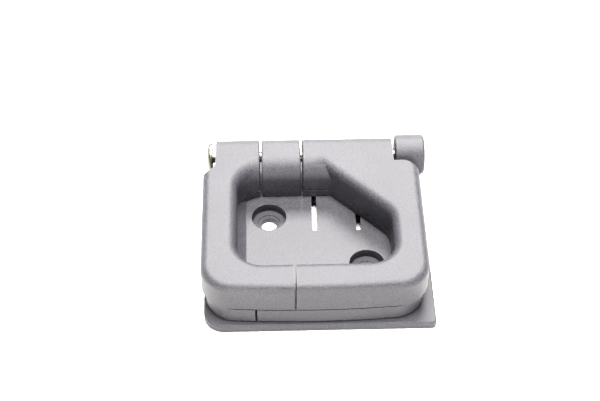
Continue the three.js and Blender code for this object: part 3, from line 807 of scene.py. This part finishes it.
@dataclass(frozen=True)
class Base:
    """Plate, raised floor, centre knuckle and end knuckle, moulded in one."""

    layout: Layout = field(default_factory=Layout)
    plate_width: float = 62.0
    plate_thickness: float = 2.5
    plate_edge: float = 0.5
    left_radius: float = 5.5
    other_radius: float = 1.2
    floor_left: float = 10.7
    floor_corner: float = 4.4
    screw_holes: tuple[tuple[float, float], ...] = ((17.8, 36.2), (44.4, 18.7))
    counterbore: tuple[float, float] = (4.8, 2.8)
    seat_step: tuple[float, float] = (3.1, 0.3)
    hole_radius: float = 2.25
    slots: tuple[float, float] = (30.6, 42.8)
    slot_size: tuple[float, float, float] = (1.4, 30.8, 15.0)
    washer_recess: tuple[float, float] = (3.7, 1.6)
    boss_wall: float = 2.2
    skin_thickness: float = 2.4
    rim: float = 2.0
    rib: float = 3.0
    rib_x: float = 36.7

    def floor(self) -> Array:
        """Plan of the raised floor."""
        lay = self.layout
        return rectangle(
            self.floor_left,
            lay.opening_front - 0.4,
            lay.opening_right + 0.4,
            float(HINGE[1]) + lay.barrel_radius,
            self.floor_corner,
        )

    def screw_hole(self, x: float, y: float) -> Surface:
        """A counterbored hole with a shallow step in its seat and broken edges."""
        top = self.layout.floor_top
        bore, depth = self.counterbore
        step, step_depth = self.seat_step
        seat, edge = top - depth, 0.25
        profile = [
            [self.hole_radius, -1],
            [self.hole_radius, seat - step_depth - edge / 2],
            [self.hole_radius + edge / 2, seat - step_depth],
            [step, seat - step_depth],
            [step, seat - edge / 2],
            [step + edge / 2, seat],
            [bore - edge / 2, seat],
            [bore, seat + edge / 2],
            [bore, top - edge],
            [bore + edge * 0.3, top - edge * 0.3],
            [bore + edge, top],
            [bore + edge, top + 1],
        ]
        return turned_upright(np.array(profile), x, y)

    def slot(self, x: float) -> Surface:
        """A straight slot through the raised floor."""
        width, front, length = self.slot_size
        plan = rectangle(x - width / 2, front, x + width / 2, front + length, width * 0.3)
        return upright(plan, -1, self.layout.floor_top + 1)

    def pockets(self) -> Shape:
        """Space cored out of the underside, around the screw bosses and between ribs."""
        lay = self.layout
        plan = self.floor()
        inset = self.rim * np.array([1, 1, -1, -1])
        plan[:, 0] += inset[[0, 2, 3, 1]]
        plan[:, 1] += inset[[0, 1, 2, 3]]
        shape = Shape(upright(plan, -1, lay.floor_top - self.skin_thickness, 0, 0.3))
        boss = self.counterbore[0] + self.boss_wall
        pillar = np.array([[boss, -2], [boss, 9]])
        bosses = [turned_upright(pillar, x, y) for x, y in self.screw_holes]
        middle = np.mean(self.screw_holes, axis=0)[1]
        half = self.rib / 2
        ribs = [
            block((-FAR, middle - half, -2), (FAR, middle + half, 9)),
            block((self.rib_x - half, -FAR, -2), (self.rib_x + half, FAR, 9)),
        ]
        return shape.cut(*bosses, *ribs)

    def build(self, plastic: bpy.types.Material) -> None:
        """Makes the base."""
        lay = self.layout
        y, z = float(HINGE[1]), float(HINGE[2])
        plate = np.array(
            [
                [0, 0, self.left_radius],
                [self.plate_width, 0, self.other_radius],
                [self.plate_width, lay.plate_depth, self.other_radius],
                [0, lay.plate_depth, self.other_radius],
            ]
        )
        start, end = lay.end_knuckle
        half = lay.barrel_radius
        post = rectangle(start, y - half, end - lay.side_step, y + half, 0.4)
        shape = Shape(upright(plate, 0, self.plate_thickness, 0.2, self.plate_edge))
        shape.join(
            upright(self.floor(), self.plate_thickness / 2, lay.floor_top, 0, 0.25),
            along_hinge(lay.bar_profile(lay.floor_top - 1), *lay.centre_knuckle, 0.4, 0.4),
            lay.barrel(lay.end_knuckle, lay.end_knuckle_radius, low=0.35, high=0.8),
            upright(post, self.plate_thickness / 2, z),
        )
        shape.combine(Joining.CUT, self.pockets())
        shape.cut(
            *(self.screw_hole(*place) for place in self.screw_holes),
            *(self.slot(x) for x in self.slots),
            lay.barrel((0, end + 1), lay.bore_radius),
            lay.barrel((end - self.washer_recess[1], end + 1), self.washer_recess[0]),
        )
        shape.place(Piece("base_moulding", "base", Slot.PLASTIC, ("base_plate",)), plastic)


@dataclass(frozen=True)
class Flap:
    """What the left and the right flap have in common."""

    layout: Layout = field(default_factory=Layout)
    screws: tuple[tuple[float, float], ...] = ()
    side: str = ""
    seat_radius: float = 2.2
    seat_edge: float = 0.25
    seat_depth: float = 1.9
    pilot_radius: float = 1.4
    pilot_top: float = 7.0

    def share(self, low: float, high: float, barrel: tuple[float, float]) -> Shape:
        """The part of the ring that belongs to this flap, as a space to share with it.

        Args:
            low: X where the flap's front bar starts.
            high: X where it ends.
            barrel: X places where its share of the hinge bar starts and ends.

        Returns:
            The space.
        """
        middle = self.layout.middle_y
        shape = Shape(block((low, -FAR, -1), (high, middle, FAR)))
        return shape.join(block((barrel[0], middle - 1, -1), (barrel[1], FAR, FAR)))

    def screw_seats(self) -> list[Surface]:
        """Holes for the shell screws, with a seat for each head, from below."""
        bottom = self.layout.flap_bottom
        seat = bottom + self.seat_depth
        profile = [
            [self.seat_radius + self.seat_edge, 0],
            [self.seat_radius + self.seat_edge, bottom],
            [self.seat_radius, bottom + self.seat_edge],
            [self.seat_radius, seat],
            [self.pilot_radius, seat],
            [self.pilot_radius, self.pilot_top],
        ]
        return [turned_upright(np.array(profile), x, y) for x, y in self.screws]


@dataclass(frozen=True)
class LeftFlap(Flap):
    """The flap with the upper tongue, and the pocket for the pin's head."""

    screws: tuple[tuple[float, float], ...] = ((4.35, 36.9), (8.95, 6.683))
    side: str = "left"
    pocket_depth: float = 10.0
    pocket_corner: float = 4.0

    def head_pocket(self) -> Surface:
        """The pocket for the pin's head, open to the left, the back and above."""
        lay = self.layout
        end, front = lay.left_barrel[0], float(HINGE[1]) - self.pocket_depth
        plan = [[-FAR, front, 0], [end, front, self.pocket_corner], [end, FAR, 0], [-FAR, FAR, 0]]
        return upright(np.array(plan), -1, FAR)

    def build(self, plastic: bpy.types.Material) -> None:
        """Makes the two shells."""
        lay = self.layout
        start, end = lay.left_barrel
        top = Ring(lay).upper()
        top.combine(
            Joining.SHARE,
            self.share(-FAR, lay.upper_split - lay.split_gap / 2, (-FAR, end - 0.4)),
        )
        top.cut(self.head_pocket())
        top.join(
            lay.barrel((start, end), low=0.4, high=0.4),
            along_hinge(lay.bar_profile(lay.seam + lay.seam_gap / 2), end - 2.5, end, 0, 0.4),
        )
        top.cut(lay.barrel((0, end + 1), lay.bore_radius))
        top.place(
            Piece("left_top_shell", "left_flap", Slot.PLASTIC, ("left_flap_top_shell",)), plastic
        )
        bottom = Ring(lay).lower()
        seam = lay.seam - lay.seam_gap / 2
        lip = np.array(
            [
                [lay.opening_left - 1.8, lay.floor_clear],
                [lay.opening_left + lay.lip_slope, lay.floor_clear],
                [lay.opening_left, seam - 0.15],
                [lay.opening_left - 1.8, seam - 0.15],
            ]
        )
        places = np.array([lay.opening_front, lay.opening_back])
        rings = np.stack(
            [np.column_stack([lip[:, 0], np.full(4, place), lip[:, 1]]) for place in places[::-1]]
        )
        bottom.join(skin(rings))
        bottom.combine(
            Joining.SHARE,
            self.share(-FAR, lay.lower_split - lay.split_gap / 2, (-FAR, end)),
        )
        bottom.cut(
            lay.barrel((start - 1, end + 1), lay.barrel_radius + 0.3),
            self.head_pocket(),
            *self.screw_seats(),
        )
        bottom.place(
            Piece("left_bottom_shell", "left_flap", Slot.PLASTIC, ("left_flap_bottom_shell",)),
            plastic,
        )


@dataclass(frozen=True)
class RightFlap(Flap):
    """The flap with the diagonal web, and the lower tongue under the left flap's."""

    screws: tuple[tuple[float, float], ...] = ((31.0, 5.683), (55.65, 24.0), (55.65, 40.3))
    side: str = "right"

    def build(self, plastic: bpy.types.Material) -> None:
        """Makes the two shells."""
        lay = self.layout
        start, end = lay.right_barrel
        top = Ring(lay).upper()
        top.combine(
            Joining.SHARE,
            self.share(lay.upper_split + lay.split_gap / 2, FAR, (start + 0.4, FAR)),
        )
        low = lay.seam + lay.seam_gap / 2
        top.join(
            lay.barrel((start, end), low=0.4, high=0.3),
            along_hinge(lay.bar_profile(low), start, start + 3, 0.4),
        )
        top.cut(lay.barrel((0, end + 1), lay.bore_radius))
        top.place(
            Piece("right_top_shell", "right_flap", Slot.PLASTIC, ("right_flap_top_shell",)),
            plastic,
        )
        bottom = Ring(lay).lower()
        bottom.combine(
            Joining.SHARE,
            self.share(lay.lower_split + lay.split_gap / 2, FAR, (start, FAR)),
        )
        bottom.cut(lay.barrel((start - 1, end + 1), lay.barrel_radius + 0.3), *self.screw_seats())
        bottom.place(
            Piece("right_bottom_shell", "right_flap", Slot.PLASTIC, ("right_flap_bottom_shell",)),
            plastic,
        )


@dataclass(frozen=True)
class HingePin:
    """The steel pin with its domed head."""

    radius: float = 1.5
    head_radius: float = 4.3
    dome: float = 1.3
    rim: float = 0.6
    head_x: float = 0.2
    end: float = 62.0

    def build(self, steel: bpy.types.Material) -> None:
        """Makes the pin: a quarter ellipse for the dome, and a rounded rim and end."""
        t = np.linspace(0.02, np.pi / 2, 24)
        dome = np.column_stack(
            [self.head_radius * np.sin(t), self.head_x + self.dome * (1 - np.cos(t))]
        )
        back = self.head_x + self.dome + self.rim
        s = np.linspace(0, np.pi / 2, 5)
        rim = np.column_stack(
            [self.head_radius - 0.2 * (1 - np.cos(s)), back - 0.2 + 0.2 * np.sin(s)]
        )
        tip = np.column_stack(
            [self.radius - 0.4 + 0.4 * np.cos(s), self.end - 0.4 + 0.4 * np.sin(s)]
        )
        profile = np.vstack([dome, rim, [[self.radius, back]], tip])
        Shape(turned_on_hinge(profile)).place(
            Piece("steel_hinge_pin", "base", Slot.PLATED, ("hinge_pin",)), steel
        )


@dataclass(frozen=True)
class RetainingWasher:
    """The dished spring washer pushed on the pin's plain end."""

    x: float = 61.0
    outer: float = 3.4
    inner: float = 1.55
    thickness: float = 0.5
    dish: float = 0.4
    edge: float = 0.08
    teeth: int = 6

    def build(self, steel: bpy.types.Material) -> None:
        """Makes the washer: a closed profile swept round the pin, with slots cut in."""
        knee = self.outer * 0.7
        profile = np.array(
            [
                [self.inner, self.x + self.dish],
                [knee, self.x],
                [self.outer - self.edge, self.x],
                [self.outer, self.x + self.edge],
                [self.outer, self.x + self.thickness - self.edge],
                [self.outer - self.edge, self.x + self.thickness],
                [knee, self.x + self.thickness],
                [self.inner, self.x + self.thickness + self.dish],
            ]
        )
        shape = Shape(turned_on_hinge(profile, closed=True))
        for tooth in range(self.teeth):
            slot = Shape(block((-1.5, 0, -0.2), (1.5, knee, 0.2)))
            turn = Matrix.Rotation(2 * np.pi * tooth / self.teeth, 4, "X")
            slot.body.data.transform(Matrix.Translation((self.x, HINGE[1], HINGE[2])) @ turn)
            shape.combine(Joining.CUT, slot)
        shape.place(
            Piece("spring_washer", "base", Slot.SPRING, ("pin_retaining_washer",)), steel
        )


@dataclass(frozen=True)
class ShellScrew:
    """A self-tapping screw with a cross recess and a thread."""

    radius: float = 1.1
    head_radius: float = 1.9
    head: float = 1.3
    length: float = 7.0
    head_bottom: float = 3.1
    pitch: float = 0.8
    thread_depth: float = 0.22  # as a share of the shank's radius

    def build(self, flap: Flap, number: int, steel: bpy.types.Material) -> None:
        """Makes one screw of a flap, head down.

        The thread is a ripple of the shank: its radius falls and rises with the distance
        along it plus the turn round it, counted in pitches.
        """
        x, y = flap.screws[number]
        top = self.head_bottom + self.head
        t = np.linspace(0, np.pi / 2, 8)
        crown = np.column_stack(
            [0.1 + (self.head_radius - 0.1) * np.sin(t), self.head_bottom + 0.5 * (1 - np.cos(t))]
        )
        shank = np.linspace(top, top + self.length, 60)
        taper = np.clip((top + self.length - shank) / self.radius, 0.08, 1)
        profile = np.vstack(
            [crown, [[self.head_radius, top]], np.column_stack([self.radius * taper, shank])]
        )
        surface = turned_upright(profile, x, y)
        points = surface.points.copy()
        reach = points[:, :2] - (x, y)
        turns = np.arctan2(reach[:, 1], reach[:, 0]) / (2 * np.pi)
        ripple = 0.5 + 0.5 * np.cos(2 * np.pi * (points[:, 2] / self.pitch + turns))
        threaded = points[:, 2] > top + 0.3
        scale = np.where(threaded, 1 - self.thread_depth * ripple, 1.0)
        points[:, :2] = (x, y) + reach * scale[:, None]
        shape = Shape(Surface(points, surface.quads, surface.caps))
        for turn in (0.0, np.pi / 2):
            bar = Shape(block((-1.05, -0.2, -0.1), (1.05, 0.2, 0.75)))
            move = Matrix.Translation((x, y, self.head_bottom)) @ Matrix.Rotation(turn, 4, "Z")
            bar.body.data.transform(move)
            shape.combine(Joining.CUT, bar)
        body = f"{flap.side}_flap"
        name = f"{flap.side}_shell_screw_{number + 1}"
        stands_for = (f"{body}_screw_{number + 1}",)
        shape.place(Piece(name, body, Slot.PLATED, stands_for), steel)


# ---- The studio ----


@dataclass(frozen=True)
class Studio:
    """A pale table, soft lamps above, behind and low in front, and the camera."""

    table: str = "#fbfaf8"
    table_mottle: str = "#eeedea"
    table_half: float = 1.5
    lamp: str = "#fffdfa"
    room: str = "#c9ccd6"
    room_strength: float = 0.02
    box_size: tuple[float, float] = (0.5, 0.3)
    boxes: tuple[tuple[str, float, tuple[float, float, float]], ...] = (
        ("overhead", 38.0, (0.0, 0.0, 1.0)),
        ("behind", 38.0, (0.05, 0.64, 0.77)),
        ("low_behind", 4.0, (0.0, 0.87, 0.5)),
        ("low_front", 13.0, (0.0, -0.95, 0.24)),
    )
    camera_mm: tuple[float, float, float] = (-11.627, -238.909, 287.015)
    camera_turn: tuple[float, float, float] = (41.9726, -0.1002, -1.5217)
    lens: float = 80.0157

    def lay_table(self) -> None:
        """A flat pale table top, just under the mounting face."""
        material, tree, place = new_material("pale_melamine_table")
        mottle = add_node(tree, "ShaderNodeTexNoise", {"Vector": place, "Scale": 60.0})
        tint = add_node(
            tree,
            "ShaderNodeMix",
            {0: mottle.outputs[0], 6: linear(self.table), 7: linear(self.table_mottle)},
            data_type="RGBA",
        )
        finish_with(
            tree,
            add_node(
                tree,
                "ShaderNodeBsdfPrincipled",
                {"Base Color": tint.outputs[2], "Roughness": 0.7},
            ),
        )
        half = self.table_half
        mesh = bpy.data.meshes.new("table")
        corners = [(-half, -half, 0), (half, -half, 0), (half, half, 0), (-half, half, 0)]
        mesh.from_pydata([(x, y, z - 0.00005) for x, y, z in corners], [], [(0, 1, 2, 3)])
        mesh.materials.append(material)
        table = bpy.data.objects.new("table", mesh)
        bpy.context.scene.collection.objects.link(table)

    def area_light(self, name: str, power: float, place: tuple[float, float, float]) -> None:
        """A soft rectangular lamp that faces the latch."""
        data = bpy.data.lights.new(name, "AREA")
        data.shape = "RECTANGLE"
        data.energy = power
        data.size, data.size_y = self.box_size
        data.color = linear(self.lamp)[:3]
        light = bpy.data.objects.new(name, data)
        light.location = place
        light.rotation_euler = (-Vector(place)).to_track_quat("-Z", "Y").to_euler()
        bpy.context.scene.collection.objects.link(light)

    def light(self) -> None:
        """The soft lights, and a dim room around them."""
        for name, power, place in self.boxes:
            self.area_light(name, power, place)
        world = bpy.data.worlds.new("room")
        world.use_nodes = True
        sky = world.node_tree.nodes["Background"]
        sky.inputs["Color"].default_value = linear(self.room)
        sky.inputs["Strength"].default_value = self.room_strength
        bpy.context.scene.world = world

    def shoot(self) -> None:
        """The camera."""
        data = bpy.data.cameras.new("camera")
        data.lens = self.lens
        data.sensor_width = 36.0
        data.clip_start, data.clip_end = 0.01, 20.0
        camera = bpy.data.objects.new("camera", data)
        camera.location = Vector(self.camera_mm) * MM
        camera.rotation_euler = Euler(np.radians(self.camera_turn))
        bpy.context.scene.collection.objects.link(camera)
        bpy.context.scene.camera = camera
        bpy.context.scene.view_settings.view_transform = "Standard"


def main() -> None:
    """Builds the latch and the studio."""
    logging.basicConfig(level=logging.INFO, format="%(name)s: %(message)s")
    layout = Layout()
    plastic = SparkErodedPlastic().material()
    plated = ZincPlatedSteel().material()
    # Spring steel is greyer and smoother than the plating, under a thin film of oil.
    spring = ZincPlatedSteel("#8d8f92", "#77787a", 0.34).material("oiled_spring_steel")
    Base(layout).build(plastic)
    left, right = LeftFlap(layout), RightFlap(layout)
    for flap in (left, right):
        flap.build(plastic)
        for number in range(len(flap.screws)):
            ShellScrew().build(flap, number, plated)
    HingePin().build(plated)
    RetainingWasher().build(spring)
    studio = Studio()
    studio.lay_table()
    studio.light()
    studio.shoot()


if __name__ == "__main__":
    main()
